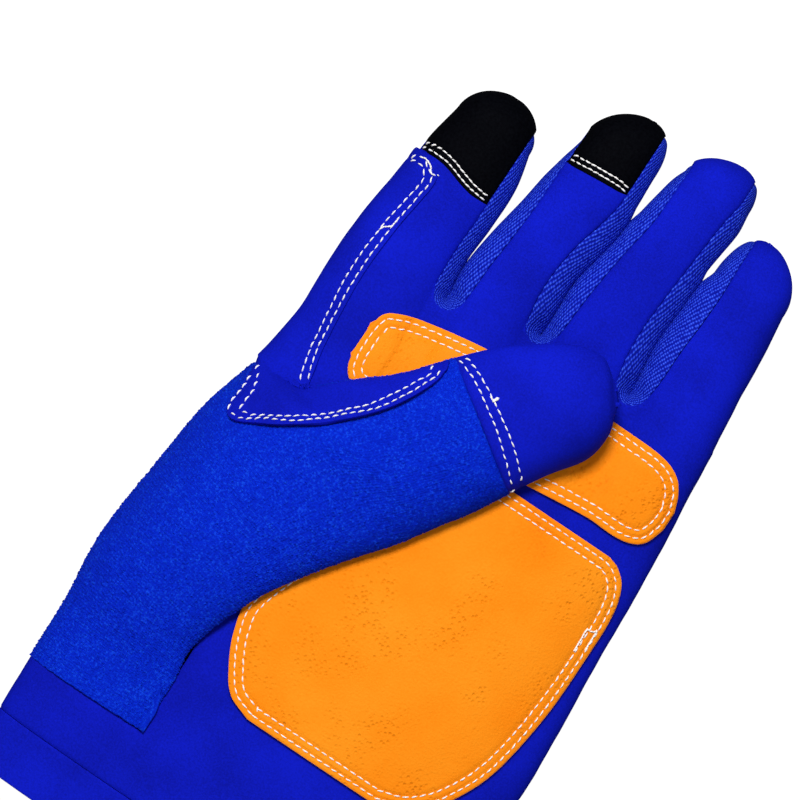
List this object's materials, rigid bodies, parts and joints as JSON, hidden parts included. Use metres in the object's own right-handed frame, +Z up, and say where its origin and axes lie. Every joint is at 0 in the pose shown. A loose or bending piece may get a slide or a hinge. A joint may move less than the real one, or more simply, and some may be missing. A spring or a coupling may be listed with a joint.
{
  "type": "mechanic glove",
  "caption": "Left-hand mechanic glove lying palm up with its thumb folded over the palm, with patches, touch tips and ribbed side strips.",
  "frame": {"origin": "the middle of the base of its outline, on the surface the glove lies on", "axes": "+X to the little finger, +Y to the fingertips, +Z up out of the palm"},
  "size_m": [0.1382, 0.2571, 0.0389],
  "materials": {
    "blue_synthetic_leather": "smooth matt synthetic suede",
    "blue_rib_knit": "fine ribbed knit",
    "blue_terry": "soft looped terry",
    "black_touch_leather": "matt grained",
    "orange_leather": "pebbled suede grain"
  },
  "bodies": {
    "root": {"palm_panel": "blue_synthetic_leather", "back_panel": "blue_synthetic_leather", "fourchette_index_middle": "blue_rib_knit", "fourchette_middle_ring": "blue_rib_knit", "fourchette_ring_little": "blue_rib_knit", "index_tip_cap": "black_touch_leather", "middle_tip_cap": "black_touch_leather", "thumb_back_panel": "blue_terry", "thumb_tip": "blue_synthetic_leather", "thumb_underside": "blue_synthetic_leather", "saddle_patch": "blue_synthetic_leather", "knuckle_patch": "orange_leather", "heel_patch": "orange_leather", "cuff_band": "blue_synthetic_leather"}
  },
  "joints": []
}
